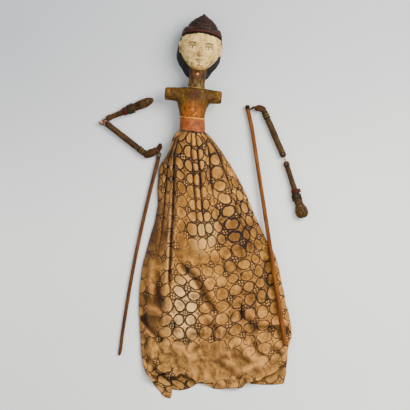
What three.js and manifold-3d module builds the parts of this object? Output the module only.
// A carved wooden rod puppet of Java, laid on its back with its two strung arms beside it.
// Millimetres. +Z points up from the surface, +Y towards the crown. Left and right are the viewer's.

import * as THREE from 'three';
import { mergeVertices } from 'three/addons/utils/BufferGeometryUtils.js';
import Module from 'manifold-3d';

const wasm = await Module();
wasm.setup();

// How the body lies
const fit = 0.3; // gap between pieces that touch
const bodyLean = 6.4; // degrees, the crown leans towards +X
const bodySlope = 2.4; // degrees, the crown end lies higher than the rod's foot
const neckPlace = new THREE.Vector2(-12, 184);

// Head, carved with its neck, hair and crown from one block
const neckLength = 28;
const neckRadius = 12;
const headHeight = 62; // chin to the crown's seat
const headWidth = 62;
const headDepth = 55;
const hairWidth = 68;
const hairDepth = 31; // behind the axis, where the head lies on the surface
const hairDrop = 15; // how far the knot of hair hangs below the chin
const crownHeight = 27; // above the head
const crownWidth = 61;
const crownBorderTilt = 24; // degrees, the border is high in front and low behind
const noseRise = 22; // from the chin to the nose's foot
const noseLength = 17;
const noseHeight = 4;
const eyeRise = 35; // above the chin
const eyeSpread = 12.5; // from the middle of the face
const eyeWidth = 11.2;
const eyeHeight = 5;
const eyeProud = 1.2;
const browRise = 42;
const browHeight = 3.4;
const browProud = 0.9;
const mouthRise = 15.8;
const mouthWidth = 15;
const lipHeight = 2.8;
const lipProud = 1.2;
const earHeight = 19;

// Torso, with two shoulder stubs and a grooved foot that the skirt is tied to
const torsoHeight = 80;
const chestWidth = 50;
const chestDepth = 30;
const waistWidth = 37;
const waistDepth = 29;
const waistShift = 3.6; // the waist stands off the neck's axis towards the right
const stubRadius = 9.3;
const leftStubReach = 47;
const rightStubReach = 40.5;
const stubHeightBelowNeck = 11.6;
const stubTilt = 2; // degrees, the left stub hangs lower
const shoulderHoleRadius = 1.4;
const shoulderHoleForward = 9; // the arm thread passes in front of the rod
const grooveHeight = 4;
const grooveDepth = 1.7;
const footHeight = 14; // below the waist band

// Waist band of painted leather
const bandHeight = 19;
const bandThickness = 0.9;

// Central rod, its peg and its stop ring
const rodRadius = 4.2;
const rodRunning = 0.8; // play between the rod and the torso's bore
const rodDepthInHead = 45;
const handleRadius = 7;
const handleFootRadius = 5.6;
const handleLength = 315;
const handleGrip = 60; // the slim stretch at the handle's foot
const handleSwell = 40; // the thickest place, below the rod's shoulder
const headLift = 12; // how far the rod pushes the head off the shoulders
const ringThickness = 3;
const ringRadius = 9;
const pegRadius = 1.6;
const pegHeight = 22; // above the neck's foot
const pegLength = 21.5;

// Skirt of printed cloth and the cord that ties it on
const clothThickness = 1.1;
const waistGather = 21; // half-width of the gathered top
const gatherCount = 14;
const gatherDepth = 1.2;
const gatherFullness = 2.4; // folds grow to this below the waist
const rollHeight = 5; // height of the side folds on the surface
const handleCover = 11; // cloth above the handle's axis
const undersideReach = 45; // below the gathered top, where the underside meets the surface
const gatherReach = 60; // below it, where the round top has become a flat tube
const sideReach = 75; // below it, where the side folds meet the surface
const crestReach = 80; // below it, where the cloth rests on the handle
const tieRadius = 0.8;
const skirtSteps = [0, 0.03, 0.08, 0.15, 0.24, 0.35, 0.47, 0.6, 0.74, 0.88, 1];
const skirtLeft = [
  [-27, -78], [-32, -104], [-43, -129], [-43, -156], [-39, -189], [-46, -241],
  [-53, -300], [-50, -347], [-43, -394], [-31, -443], [-12, -463],
];
const skirtRight = [
  [30, -72], [55, -99], [80, -130], [110, -181], [133, -219], [149, -241],
  [160, -268], [173, -308], [190, -367], [187, -404], [186, -439],
];
const rodFold = { topX: -17, topY: -110, footX: -37, footY: -330, width: 7, height: 5 };
const middleFold = { topX: 30, topY: -120, footX: 62, footY: -330, width: 12, height: 4 };
const rightFold = { topX: 60, topY: -150, footX: 135, footY: -400, width: 13, height: 5 };
const hemTail = { x: 12, width: 11, drop: 22 };

// Arms: each is an upper arm, a forearm with its hand, two threads and a rod
const shaftRadius = 4.5;
const lugWidth = 19;
const lugThickness = 15;
const lugWidest = 13; // from the lug's end to its widest place
const lugHoleRadius = 1.3;
const lugHoleFromTip = 12;
const lugRest = 0.6; // paint and wear hold the lug off the surface
const armBandWidth = 6;
const armBandRadius = 6.6;
const collarLength = 8;
const collarRadius = 6.6;
const petalCount = 5;
const elbowKnobRadius = 5;
const elbowHeight = 6.2; // above the surface, because the thicker shoulder end holds it up
const forearmLength = 65;
const braceletZone = 12;
const braceletCount = 3;
const braceletRadius = 5.8;
const palmWidth = 10;
const palmThickness = 8;
const palmSwell = 3; // heights above the wrist, up to the fingers' backs
const palmMiddle = 7;
const palmKnuckles = 10.5;
const palmEnd = 11.6;
const fingerRoot = 11;
const fingerBend = 12.4;
const fingerBack = 12.6;
const fingerFront = 11.9;
const fingerTip = 11.5;
const fingerRadius = 1.7;
const fingerCount = 4;
const knotRadius = 1.7;
const threadRadius = 0.7;

const leftArm = {
  side: 'left',
  knot: [-69.7, 80.14], // where the rod is tied to the hand, beside the skirt
  heading: 202.5, // degrees, from the shoulder to the elbow
  roll: -90,
  length: 79.5,
  bandAt: 48,
  elbowSlack: 5.6,
  forearmHeading: -38,
  fingerReach: 25,
  knotAcross: 11, // from the line of the forearm to the knot
  knotBeyond: 31.5, // and beyond the first bracelet
  rodHeading: -100.8,
  rodLength: 310,
  rodTopRadius: 3,
  rodFootRadius: 2.6,
  rodFootHeight: 2.6,
  threadTail: 9,
};
const rightArm = {
  side: 'right',
  knot: [67.11, 157.2],
  heading: 107.6,
  roll: 0,
  length: 92,
  bandAt: 43,
  elbowSlack: 3.2,
  forearmHeading: 113.4,
  fingerReach: 19,
  knotAcross: 20.6,
  knotBeyond: 31,
  rodHeading: -81.8,
  rodLength: 372,
  rodTopRadius: 2.5,
  rodFootRadius: 3.3,
  rodFootHeight: 17,
  threadTail: 3,
};

const up = new THREE.Vector3(0, 0, 1);
const lengthwise = new THREE.Vector3(0, 1, 0);
const radians = THREE.MathUtils.degToRad;
const smooth = (value, from, to) => THREE.MathUtils.smoothstep(value, from, to);
const mix = THREE.MathUtils.lerp;

// Solids

function asSolid(geometry) {
  const plain = geometry.clone();
  plain.deleteAttribute('normal');
  plain.deleteAttribute('uv');
  const merged = mergeVertices(plain, 1e-4);
  return new wasm.Manifold(new wasm.Mesh({
    numProp: 3,
    vertProperties: Float32Array.from(merged.attributes.position.array),
    triVerts: Uint32Array.from(merged.index.array),
  }));
}

function asGeometry(solid) {
  const mesh = solid.getMesh();
  const geometry = new THREE.BufferGeometry();
  geometry.setAttribute('position', new THREE.BufferAttribute(mesh.vertProperties, 3));
  geometry.setIndex(new THREE.BufferAttribute(mesh.triVerts, 1));
  return geometry;
}

function joined(first, ...others) {
  return asGeometry(others.reduce((solid, next) => solid.add(asSolid(next)), asSolid(first)));
}

function cut(body, ...tools) {
  return asGeometry(tools.reduce((solid, tool) => solid.subtract(asSolid(tool)), asSolid(body)));
}

function surface(points, faces) {
  const geometry = new THREE.BufferGeometry();
  const numbers = points.flatMap((point) => point.toArray());
  geometry.setAttribute('position', new THREE.Float32BufferAttribute(numbers, 3));
  geometry.setIndex(faces.flat());
  return geometry;
}

// A solid through oval sections; each has a centre, a half-width and a half-depth.
// The sections stand square to the line of centres, or to the direction that is given.
function loft(sections, sides, direction, petals = 0) {
  const points = [];
  const faces = [];
  sections.forEach((section, i) => {
    const before = sections[Math.max(i - 1, 0)].centre;
    const after = sections[Math.min(i + 1, sections.length - 1)].centre;
    const along = direction ?? after.clone().sub(before).normalize();
    const across = along.clone().cross(up).normalize();
    const deep = across.clone().cross(along);
    for (let k = 0; k < sides; k++) {
      const turn = (2 * Math.PI * k) / sides;
      const swell = 1 + (section.petal ?? 0) * Math.cos(petals * turn);
      points.push(section.centre.clone()
        .addScaledVector(across, section.width * swell * Math.cos(turn))
        .addScaledVector(deep, section.depth * swell * Math.sin(turn)));
    }
  });
  const start = points.length;
  points.push(sections[0].centre.clone(), sections.at(-1).centre.clone());
  const last = (sections.length - 1) * sides;
  for (let k = 0; k < sides; k++) {
    const next = (k + 1) % sides;
    for (let row = 0; row < last; row += sides) {
      faces.push([row + k, row + sides + k, row + next]);
      faces.push([row + next, row + sides + k, row + sides + next]);
    }
    faces.push([start, k, next]);
    faces.push([start + 1, last + next, last + k]);
  }
  return surface(points, faces);
}

const oval = (y, width, front, back, x = 0) => ({
  centre: new THREE.Vector3(x, y, (front + back) / 2),
  width,
  depth: (front - back) / 2,
});

const round = (x, y, radius, depth = radius) => ({
  centre: new THREE.Vector3(x, y, 0),
  width: radius,
  depth,
});

function turned(profile, sides) {
  return new THREE.LatheGeometry(profile.map(([radius, y]) => new THREE.Vector2(radius, y)), sides);
}

function pin(radius, length, sides = 16) {
  return new THREE.CylinderGeometry(radius, radius, length, sides);
}

function cordAlong(points, radius, steps, sides = 8) {
  const path = new THREE.CatmullRomCurve3(points.map(([x, y, z]) => new THREE.Vector3(x, y, z)));
  const circle = new THREE.Path().absarc(0, 0, radius, 0, 2 * Math.PI);
  const section = new THREE.Shape(circle.getPoints(sides).slice(1));
  return new THREE.ExtrudeGeometry(section, { steps, extrudePath: path, curveSegments: 1 });
}

// Head

const headSpot = (rise, width, front, back) => oval(
  neckLength + rise * headHeight,
  width * headWidth / 2,
  front * headDepth / 2,
  back * headDepth / 2,
);

const hairSpot = (rise, width, front, back) => oval(
  neckLength + rise * headHeight,
  width * hairWidth / 2,
  front * hairDepth,
  -back * hairDepth,
);

const crownSpot = (rise, width, depth) => oval(
  neckLength + headHeight + rise * crownHeight,
  width * crownWidth / 2,
  depth * headDepth / 2,
  -depth * headDepth / 2,
);

function headGeometry() {
  const neck = turned([
    [0, 0], [neckRadius + 0.3, 0], [neckRadius + 0.5, 1.5], [neckRadius - 0.5, 6],
    [neckRadius, neckLength * 0.7], [neckRadius + 1, neckLength * 1.3], [0, neckLength * 1.3],
  ], 20);
  const face = loft([
    headSpot(-0.01, 0.14, 0.72, 0.1),
    headSpot(0.05, 0.4, 0.86, -0.35),
    headSpot(0.17, 0.67, 0.94, -0.65),
    headSpot(0.34, 0.92, 0.99, -0.85),
    headSpot(0.52, 1, 1, -0.95),
    headSpot(0.7, 1, 0.98, -0.95),
    headSpot(0.85, 0.93, 0.88, -0.9),
    headSpot(0.97, 0.74, 0.62, -0.7),
  ], 24, lengthwise);
  const hair = loft([
    hairSpot(-hairDrop / headHeight, 0.33, -0.2, 0.5),
    hairSpot(-0.18, 0.45, -0.08, 0.66),
    hairSpot(-0.03, 0.61, 0, 0.84),
    hairSpot(0.1, 0.8, 0.05, 0.94),
    hairSpot(0.28, 0.97, 0.06, 0.99),
    hairSpot(0.5, 1, 0.04, 1),
    hairSpot(0.72, 0.95, 0.04, 0.98),
    hairSpot(0.92, 0.78, 0, 0.8),
  ], 24, lengthwise);
  const noseFoot = neckLength + noseRise;
  const noseSpot = (share, half, proud) => (
    oval(noseFoot + share * noseLength, half, headDepth / 2 + proud * noseHeight, headDepth / 4)
  );
  const nose = loft([
    noseSpot(-0.05, 2, 0),
    noseSpot(0.02, 4, 0.6),
    noseSpot(0.15, 4.2, 1),
    noseSpot(0.5, 2.7, 0.5),
    noseSpot(1, 1.5, -0.2),
  ], 12, lengthwise);
  // a shallow oval raised from the face, at a place across it and above the chin
  const faceOval = (x, rise, wide, high, proud) => {
    const turn = Math.asin(x / (headWidth / 2));
    const depth = (headDepth / 2) * Math.cos(turn);
    return new THREE.SphereGeometry(1, 14, 8)
      .scale(wide / 2, high / 2, 2 * proud)
      .rotateY(turn * 0.9)
      .translate(x, neckLength + rise, depth - proud);
  };
  const features = [
    faceOval(-eyeSpread, eyeRise, eyeWidth, eyeHeight, eyeProud),
    faceOval(eyeSpread, eyeRise, eyeWidth, eyeHeight, eyeProud),
    faceOval(-eyeSpread, browRise, eyeWidth + 2, browHeight, browProud),
    faceOval(eyeSpread, browRise, eyeWidth + 2, browHeight, browProud),
    faceOval(0, mouthRise + lipHeight / 2, mouthWidth, lipHeight, lipProud),
    faceOval(0, mouthRise - lipHeight / 2, mouthWidth * 0.84, lipHeight, lipProud),
  ];
  const ear = (side) => new THREE.SphereGeometry(1, 10, 8)
    .scale(3.4, earHeight / 2, 5)
    .rotateZ(side * -0.08)
    .translate(side * headWidth / 2, neckLength + 0.53 * headHeight, -1);
  const cap = loft([
    crownSpot(-0.3, 0.8, 0.84),
    crownSpot(0.08, 0.72, 0.76),
    crownSpot(0.34, 0.6, 0.62),
    crownSpot(0.58, 0.39, 0.42),
    crownSpot(0.77, 0.19, 0.22),
    crownSpot(0.88, 0.08, 0.1),
    crownSpot(1, 0.02, 0.03),
  ], 20, lengthwise);
  const band = cut(loft([
    crownSpot(-1.1, 0.97, 1.05),
    crownSpot(-0.7, 1.01, 1.08),
    crownSpot(-0.4, 1.02, 1.06),
    crownSpot(-0.1, 0.97, 0.99),
    crownSpot(0.1, 0.85, 0.88),
    crownSpot(0.28, 0.71, 0.74),
  ], 24, lengthwise), new THREE.BoxGeometry(2 * crownWidth, 2 * headHeight, 4 * headDepth)
    .translate(0, -headHeight, 0)
    .rotateX(radians(crownBorderTilt))
    .translate(0, neckLength + 0.78 * headHeight, 0));
  const bore = pin(rodRadius + fit, rodDepthInHead + 2 * fit, 20)
    .translate(0, rodDepthInHead / 2, 0);
  const pegHole = pin(pegRadius + fit, pegLength + neckRadius, 12)
    .rotateX(Math.PI / 2)
    .translate(0, pegHeight, neckRadius + fit + neckRadius / 2 - pegLength / 2 + fit / 2);
  return cut(joined(neck, face, hair, nose, ...features, ear(-1), ear(1), cap, band), bore, pegHole);
}

function pegGeometry() {
  return pin(pegRadius, pegLength, 12)
    .rotateX(Math.PI / 2)
    .translate(0, pegHeight, neckRadius + 2 * fit - pegLength / 2);
}

// Torso and what is worn on it

const torsoTop = -fit;
const bandTop = torsoTop - (torsoHeight - footHeight - bandHeight);
const bandFoot = bandTop - bandHeight;
const torsoFoot = torsoTop - torsoHeight;
const shiftAt = (y) => mix(-waistShift / 2, waistShift, -y / torsoHeight);
const grooveMiddle = bandFoot - footHeight / 2;

const torsoSpot = (y, width, depth) => oval(y, width, depth, -depth, shiftAt(y));

function torsoGeometry() {
  const waist = waistWidth / 2;
  const belly = waistDepth / 2;
  const chest = chestWidth / 2;
  const breast = chestDepth / 2;
  const seat = bandThickness + fit / 2;
  const trunk = loft([
    torsoSpot(torsoFoot, waist - 2, belly - 2),
    torsoSpot(torsoFoot + 2, waist - 1.4, belly - 1.4),
    torsoSpot(grooveMiddle - grooveHeight / 2, waist - 1.4, belly - 1.4),
    torsoSpot(grooveMiddle - grooveHeight / 2 + 0.8, waist - 1.4 - grooveDepth, belly - 1.4 - grooveDepth),
    torsoSpot(grooveMiddle + grooveHeight / 2 - 0.8, waist - 1.4 - grooveDepth, belly - 1.4 - grooveDepth),
    torsoSpot(grooveMiddle + grooveHeight / 2, waist - 1.4, belly - 1.4),
    torsoSpot(bandFoot, waist - seat, belly - seat),
    torsoSpot(bandTop, waist - seat, belly - seat),
    torsoSpot(bandTop + 0.6, waist + 0.4, belly + 0.4),
    torsoSpot(mix(bandTop, torsoTop, 0.15), waist + 0.8, belly + 0.5),
    torsoSpot(mix(bandTop, torsoTop, 0.36), mix(waist, chest, 0.5), breast),
    torsoSpot(mix(bandTop, torsoTop, 0.58), chest, breast + 1),
    torsoSpot(mix(bandTop, torsoTop, 0.8), chest, breast),
    torsoSpot(mix(bandTop, torsoTop, 0.93), chest * 0.88, breast * 0.9),
    torsoSpot(torsoTop, chest * 0.68, breast * 0.85),
  ], 24, lengthwise);
  const reach = leftStubReach + rightStubReach;
  const stubs = loft([
    round(0, 0, stubRadius - 1),
    round(0, 1.2, stubRadius),
    round(0, leftStubReach * 0.42, stubRadius + 1.2),
    round(0, leftStubReach * 0.72, stubRadius + 2.2, breast * 0.9),
    round(0, reach - rightStubReach * 0.72, stubRadius + 2.2, breast * 0.9),
    round(0, reach - rightStubReach * 0.42, stubRadius + 1.2),
    round(0, reach - 1.2, stubRadius),
    round(0, reach, stubRadius - 1),
  ], 20, lengthwise)
    .translate(0, -leftStubReach, 0)
    .rotateZ(-Math.PI / 2 + radians(stubTilt))
    .translate(0, torsoTop - stubHeightBelowNeck, 0);
  const bore = pin(rodRadius + rodRunning, torsoHeight + 4, 20).translate(0, torsoTop - torsoHeight / 2, 0);
  const threadHole = pin(shoulderHoleRadius, 2 * reach, 10)
    .rotateZ(-Math.PI / 2 + radians(stubTilt))
    .translate(0, torsoTop - stubHeightBelowNeck, shoulderHoleForward - stubRadius / 3);
  return cut(joined(trunk, stubs), bore, threadHole);
}

function bandGeometry() {
  const inner = waistWidth / 2 - bandThickness - fit / 2 + fit;
  const innerDepth = inner - (waistWidth - waistDepth) / 2;
  const wall = (extra, over) => loft([
    torsoSpot(bandFoot + fit - over, inner + extra * 1.5, innerDepth + extra * 1.5),
    torsoSpot(mix(bandFoot, bandTop, 0.4), inner + extra, innerDepth + extra),
    torsoSpot(bandTop - fit + over, inner + extra, innerDepth + extra),
  ], 32, lengthwise);
  return cut(wall(bandThickness, 0), wall(0, 1));
}

function tieGeometry() {
  const width = waistWidth / 2 - 1.4 - grooveDepth + fit + tieRadius;
  const depth = width - (waistWidth - waistDepth) / 2;
  return new THREE.TorusGeometry(1, tieRadius / width, 8, 32)
    .scale(width, depth, width)
    .rotateX(Math.PI / 2)
    .translate(shiftAt(grooveMiddle), grooveMiddle, 0);
}

// Central rod and its loose stop ring

const shoulderY = torsoFoot - headLift - ringThickness - 3 * fit;

function rodGeometry() {
  const foot = shoulderY - handleLength;
  const stick = turned([
    [0, foot], [handleFootRadius - 0.8, foot], [handleFootRadius, foot + 1],
    [handleFootRadius + 0.3, foot + handleGrip],
    [handleRadius, shoulderY - handleLength * 0.4], [handleRadius + 0.6, shoulderY - handleSwell],
    [handleRadius, shoulderY - 2], [handleRadius - 1.5, shoulderY], [rodRadius, shoulderY],
    [rodRadius, rodDepthInHead - 1], [rodRadius - 1, rodDepthInHead], [0, rodDepthInHead],
  ], 20);
  const pegHole = pin(pegRadius + fit, 4 * rodRadius, 12).rotateX(Math.PI / 2).translate(0, pegHeight, 0);
  return cut(stick, pegHole);
}

function ringGeometry() {
  const inner = rodRadius + fit + 0.1;
  const low = shoulderY + fit;
  const high = low + ringThickness;
  return turned([
    [inner, low], [ringRadius - 0.6, low], [ringRadius, low + 0.8], [ringRadius, high - 0.8],
    [ringRadius - 0.6, high], [inner, high], [inner, low],
  ], 24);
}

// Skirt: a gathered tube that spreads and flattens on the surface

const neckHeight = hairDepth * Math.cos(radians(bodySlope))
  - (neckLength + headHeight / 2) * Math.sin(radians(bodySlope));
const axisHeight = (y) => neckHeight + y * Math.sin(radians(bodySlope));
const skirtTop = bandFoot - 2 * fit;

function skirtRow(left, right, share) {
  const y = (left.y + right.y) / 2;
  const below = skirtTop - y;
  const gatherHalfDepth = waistGather * waistDepth / waistWidth + 1;
  const spread = smooth(below, 0, gatherReach);
  const axis = axisHeight(y);
  const edge = mix(axis, rollHeight, smooth(below, 0, sideReach));
  const crest = axis + mix(gatherHalfDepth, handleCover, smooth(below, 0, crestReach));
  const base = mix(axis - gatherHalfDepth, 0, smooth(below, 0, undersideReach));
  const flatness = mix(1, 0.3, spread);
  const overRod = THREE.MathUtils.clamp(-(left.x + right.x) / (right.x - left.x), -0.85, 0.85);
  const gather = (gatherDepth + gatherFullness * smooth(share, 0, 0.1)) * (1 - smooth(share, 0.12, 0.5));
  const count = 4 * gatherCount;
  return Array.from({ length: count }, (_, i) => {
    const turn = (2 * Math.PI * (i + 0.5)) / count;
    const across = Math.cos(turn);
    const x = mix(left.x, right.x, (1 + across) / 2);
    const side = across > overRod ? (1 - across) / (1 - overRod) : (1 + across) / (1 + overRod);
    const rise = Math.pow(Math.sin(side * Math.PI / 2), mix(0.62, 0.8, spread));
    const wave = gather * Math.cos(gatherCount * turn);
    const point = new THREE.Vector3(x, mix(left.y, right.y, (1 + across) / 2), 0);
    point.x += wave * across * (1 - spread);
    if (turn < Math.PI) {
      const arch = mix(Math.sin(turn), rise, spread);
      const lift = wave + foldLift(point) * spread;
      point.z = edge + (crest - edge) * arch + lift * Math.sin(turn);
    } else {
      const drop = Math.pow(-Math.sin(turn), flatness);
      point.z = Math.max(edge - (edge - base) * drop + wave * Math.sin(turn) * (1 - spread), 0);
    }
    point.y -= hemTail.drop * smooth(share, 0.8, 1) * Math.exp(-(((x - hemTail.x) / hemTail.width) ** 2));
    return point;
  });
}

function foldLift(point) {
  return [rodFold, middleFold, rightFold].reduce((lift, fold) => {
    const along = (point.y - fold.topY) / (fold.footY - fold.topY);
    const away = (point.x - mix(fold.topX, fold.footX, along)) / fold.width;
    const fade = smooth(along, -0.1, 0.15) * (1 - smooth(along, 0.85, 1.1));
    return lift + fold.height * fade * Math.exp(-away * away);
  }, 0);
}

function skirtGeometry() {
  const edgeCurve = (half, outline) => new THREE.SplineCurve(
    [[half + shiftAt(skirtTop), skirtTop], ...outline].map(([x, y]) => new THREE.Vector2(x, y)),
  );
  const leftEdge = edgeCurve(-waistGather, skirtLeft);
  const rightEdge = edgeCurve(waistGather, skirtRight);
  const outside = skirtSteps.map((share) => (
    skirtRow(leftEdge.getPointAt(share), rightEdge.getPointAt(share), share)
  ));
  const count = outside[0].length;
  const last = outside.length - 1;
  const inside = outside.map((row, r) => row.map((point, k) => {
    const down = outside[Math.min(r + 1, last)][k].clone().sub(outside[Math.max(r - 1, 0)][k]);
    const around = row[(k + 1) % count].clone().sub(row[(k + count - 1) % count]);
    const inward = down.cross(around).normalize();
    return point.clone().addScaledVector(inward, clothThickness);
  }));
  const points = [...outside.flat(), ...inside.flat()];
  const shell = outside.length * count;
  const faces = [];
  for (let k = 0; k < count; k++) {
    const next = (k + 1) % count;
    for (let r = 0; r < last; r++) {
      const [a, b, c, d] = [r * count + k, r * count + next, (r + 1) * count + k, (r + 1) * count + next];
      faces.push([a, b, c], [b, d, c]);
      faces.push([shell + a, shell + c, shell + b], [shell + b, shell + c, shell + d]);
    }
    faces.push([k, shell + k, next], [next, shell + k, shell + next]);
    const [low, lowNext] = [last * count + k, last * count + next];
    faces.push([low, lowNext, shell + low], [lowNext, shell + lowNext, shell + low]);
  }
  return surface(points, faces);
}

// Arms

function upperArmGeometry(arm) {
  const wide = lugWidth / 2;
  const thick = lugThickness / 2;
  const collarTop = arm.bandAt - armBandWidth / 2;
  const collarFoot = collarTop - collarLength;
  const body = loft([
    round(0, 0, wide * 0.4, thick * 0.4),
    round(0, 2, wide * 0.72, thick * 0.72),
    round(0, 7, wide * 0.97, thick * 0.96),
    round(0, lugWidest, wide, thick),
    round(0, mix(lugWidest, collarFoot, 0.6), wide * 0.84, thick * 0.93),
    round(0, collarFoot, wide * 0.66, thick * 0.8),
    round(0, collarTop, shaftRadius + 0.8),
    round(0, arm.bandAt + armBandWidth, shaftRadius),
    round(0, arm.length - 10, shaftRadius - 0.4),
    round(0, arm.length - 5, elbowKnobRadius),
    round(0, arm.length - 2, elbowKnobRadius - 0.8),
    round(0, arm.length, elbowKnobRadius - 3),
  ], 16, lengthwise);
  const collar = loft([
    { ...round(0, collarFoot, collarRadius), petal: 0.16 },
    { ...round(0, collarFoot + 1.2, collarRadius), petal: 0.12 },
    { ...round(0, collarTop, shaftRadius + 0.9), petal: 0 },
  ], 20, lengthwise, petalCount);
  const band = loft([
    round(0, arm.bandAt - armBandWidth / 2, armBandRadius - 1),
    round(0, arm.bandAt - armBandWidth / 4, armBandRadius),
    round(0, arm.bandAt + armBandWidth / 4, armBandRadius),
    round(0, arm.bandAt + armBandWidth / 2, armBandRadius - 1),
  ], 16, lengthwise);
  const scroll = pin(2, 3.4, 10)
    .rotateX(Math.PI / 2)
    .translate(armBandRadius, arm.bandAt, 0);
  const lugHole = pin(lugHoleRadius, 2 * lugThickness, 10)
    .rotateX(Math.PI / 2)
    .translate(0, lugHoleFromTip, 0);
  return cut(joined(body, collar, band, scroll), lugHole);
}

// The hand bends to its own left; the spine is given from the start of the bracelets
function forearmGeometry(arm) {
  const wrist = forearmLength;
  const shaft = loft([
    round(0, 0, shaftRadius - 2.4),
    round(0, 1.2, shaftRadius - 0.7),
    round(0, 4, shaftRadius),
    round(0, wrist * 0.6, shaftRadius + 0.1),
    round(0, wrist, shaftRadius - 0.4),
    round(0, wrist + braceletZone + 1, shaftRadius - 0.6),
  ], 16, lengthwise);
  const bracelets = Array.from({ length: braceletCount }, (_, i) => {
    const y = wrist + (braceletZone * (i + 0.5)) / braceletCount;
    const radius = braceletRadius - i * 0.4;
    return loft([
      round(0, y - 1.5, radius - 0.7),
      round(0, y - 0.8, radius),
      round(0, y + 0.8, radius),
      round(0, y + 1.5, radius - 0.7),
    ], 16, lengthwise);
  });
  const reach = arm.fingerReach;
  const start = wrist + braceletZone;
  const palm = loft([
    round(0, start, palmWidth * 0.42, palmThickness * 0.45),
    round(-0.8, start + palmSwell, palmWidth * 0.52, palmThickness * 0.52),
    round(-reach * 0.18, start + palmMiddle, palmWidth * 0.58, palmThickness * 0.55),
    round(-reach * 0.42, start + palmKnuckles, palmWidth * 0.54, palmThickness * 0.5),
    round(-reach * 0.6, start + palmEnd, palmWidth * 0.44, palmThickness * 0.4),
  ], 14);
  const fingerPitch = (palmThickness - 2 * fingerRadius + 1.2) / (fingerCount - 1);
  const fingers = Array.from({ length: fingerCount }, (_, i) => {
    const z = (i - (fingerCount - 1) / 2) * fingerPitch;
    const short = Math.abs(i - 1) * 0.05;
    const tip = 1 - short;
    return loft([
      round(-reach * 0.45, start + fingerRoot, fingerRadius + 0.7, fingerRadius),
      round(-reach * 0.62, start + fingerBend, fingerRadius + 0.5, fingerRadius),
      round(-reach * 0.82 * tip, start + fingerBack, fingerRadius + 0.2, fingerRadius),
      round(-reach * 0.96 * tip, start + fingerFront, fingerRadius * 0.8),
      round(-reach * tip, start + fingerTip, fingerRadius * 0.4),
    ], 8).translate(0, 0, z);
  });
  const thumb = loft([
    round(-reach * 0.2, start + 4, 2),
    round(-reach * 0.38, start + 5.4, 1.9),
    round(-reach * 0.54, start + 6.6, 1.6),
    round(-reach * 0.62, start + 7.4, 0.7),
  ], 8).translate(0, 0, palmThickness * 0.32);
  const elbowHole = pin(lugHoleRadius, 4 * shaftRadius, 10).rotateX(Math.PI / 2).translate(0, 5, 0);
  return cut(joined(shaft, ...bracelets, palm, ...fingers, thumb), elbowHole);
}

function elbowThreadGeometry(arm) {
  const knot = new THREE.SphereGeometry(knotRadius, 12, 8);
  const tail = cordAlong([
    [0, 0, 0],
    [arm.threadTail * 0.13, -arm.threadTail * 0.38, 0.3],
    [arm.threadTail * 0.05, -arm.threadTail * 0.7, 0],
    [-arm.threadTail * 0.27, -arm.threadTail * 0.69, -0.2],
    [-arm.threadTail * 0.5, -arm.threadTail * 0.42, 0],
    [-arm.threadTail * 0.72, -arm.threadTail * 0.3, 0.3],
  ], threadRadius, 12);
  return joined(knot, tail);
}

function rodTieGeometry() {
  const knot = new THREE.SphereGeometry(knotRadius, 12, 8);
  const end = cordAlong([[0, 0, 0], [-1, 1.4, 0.5], [-1.2, 3, 0.4]], threadRadius * 0.8, 4);
  return joined(knot, end);
}

function armRodGeometry(arm) {
  return turned([
    [0, 0], [arm.rodTopRadius * 0.7, 0], [arm.rodTopRadius, 2], [arm.rodTopRadius, arm.rodLength * 0.3],
    [arm.rodFootRadius, arm.rodLength - 8], [arm.rodFootRadius * 0.8, arm.rodLength - 2],
    [arm.rodFootRadius * 0.4, arm.rodLength], [0, arm.rodLength],
  ], 12);
}

// Assembly

const paint = (color, roughness) => new THREE.MeshStandardMaterial({ color, roughness, metalness: 0 });

function piece(name, geometry, material) {
  const mesh = new THREE.Mesh(geometry, material);
  mesh.name = name;
  return mesh;
}

// Lays a mesh so that its own +Y runs from one place to another, with its underside down
function layAlong(mesh, from, to, roll = 0) {
  const along = to.clone().sub(from).normalize();
  const across = along.clone().cross(up).normalize();
  const deep = across.clone().cross(along);
  mesh.quaternion.setFromRotationMatrix(new THREE.Matrix4().makeBasis(across, along, deep));
  mesh.rotateY(radians(roll));
  mesh.position.copy(from);
  return mesh;
}

const onward = (from, heading, distance, height) => new THREE.Vector3(
  from.x + distance * Math.cos(radians(heading)),
  from.y + distance * Math.sin(radians(heading)),
  height,
);

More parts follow.
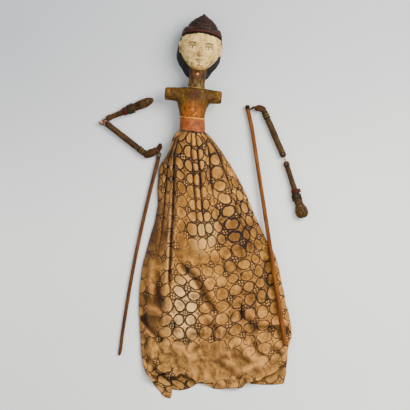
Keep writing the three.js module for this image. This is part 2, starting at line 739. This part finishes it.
// An arm is laid out from the knot beside the skirt, back along the hand to the shoulder
function layArm(arm) {
  const group = new THREE.Group();
  const name = (part) => `${arm.side}_${part}`;
  const knotPlace = new THREE.Vector2(...arm.knot);
  const knotAbreast = onward(knotPlace, arm.forearmHeading - 90, arm.knotAcross, 0);
  const knotAlong = arm.elbowSlack + forearmLength + arm.knotBeyond;
  const pivot = onward(knotAbreast, arm.forearmHeading, -knotAlong, elbowHeight);
  const lugHeight = (arm.roll === 0 ? lugThickness / 2 : lugWidth / 2) + lugRest;
  const tip = onward(pivot, arm.heading, -arm.length - arm.elbowSlack, lugHeight);
  const elbowEnd = tip.clone().lerp(pivot, arm.length / (arm.length + arm.elbowSlack));
  const upperArm = piece(name('upper_arm'), upperArmGeometry(arm), paint(0x4a3524, 0.6));
  group.add(layAlong(upperArm, tip, elbowEnd, arm.roll));

  const thread = piece(name('elbow_thread'), elbowThreadGeometry(arm), paint(0xa8773a, 0.9));
  thread.position.copy(pivot);
  group.add(thread);

  const handHeight = Math.max(braceletRadius, palmThickness / 2 + 0.6);
  const forearmStart = onward(pivot, arm.forearmHeading, arm.elbowSlack, pivot.z);
  const wristAway = arm.elbowSlack + forearmLength + braceletZone;
  const forearmEnd = onward(pivot, arm.forearmHeading, wristAway, handHeight);
  const forearm = piece(name('forearm'), forearmGeometry(arm), paint(0x4a3524, 0.6));
  group.add(layAlong(forearm, forearmStart, forearmEnd));

  forearm.updateMatrix();
  const knotSpot = new THREE.Vector3(-arm.knotAcross, forearmLength + arm.knotBeyond, 0)
    .applyMatrix4(forearm.matrix);
  const tie = piece(name('rod_tie'), rodTieGeometry(), paint(0xd8cfc0, 0.9));
  tie.position.copy(knotSpot);
  group.add(tie);

  const rodTop = onward(knotSpot, arm.rodHeading, knotRadius + fit, knotSpot.z);
  const rodFoot = onward(rodTop, arm.rodHeading, arm.rodLength, arm.rodFootHeight);
  group.add(layAlong(piece(name('arm_rod'), armRodGeometry(arm), paint(0x8a5028, 0.5)), rodTop, rodFoot));
  return group;
}

const body = new THREE.Group();
body.rotation.x = radians(bodySlope);
body.position.z = neckHeight;
body.add(
  piece('head', headGeometry(), paint(0xcdbb8e, 0.55)),
  piece('neck_peg', pegGeometry(), paint(0xd9b0a0, 0.5)),
  piece('central_rod', rodGeometry(), paint(0x9a6a3c, 0.55)),
  piece('rod_stop_ring', ringGeometry(), paint(0x6b4a30, 0.8)),
  piece('torso', torsoGeometry(), paint(0x7a5a28, 0.5)),
  piece('waist_band', bandGeometry(), paint(0xb5652f, 0.55)),
  piece('waist_tie', tieGeometry(), paint(0x5a4a3a, 0.95)),
);

const lyingBody = new THREE.Group();
lyingBody.position.set(neckPlace.x, neckPlace.y, 0);
lyingBody.rotation.z = -radians(bodyLean);
lyingBody.add(body, piece('skirt', skirtGeometry(), paint(0xc49a63, 0.9)));

// The puppet stands centred over the origin, on the surface
const puppet = new THREE.Group();
puppet.add(lyingBody, layArm(leftArm), layArm(rightArm));
puppet.updateMatrixWorld(true);
const extent = new THREE.Box3().setFromObject(puppet, true);
const middle = extent.getCenter(new THREE.Vector3());
puppet.position.set(-middle.x, -middle.y, -extent.min.z);

export default puppet;
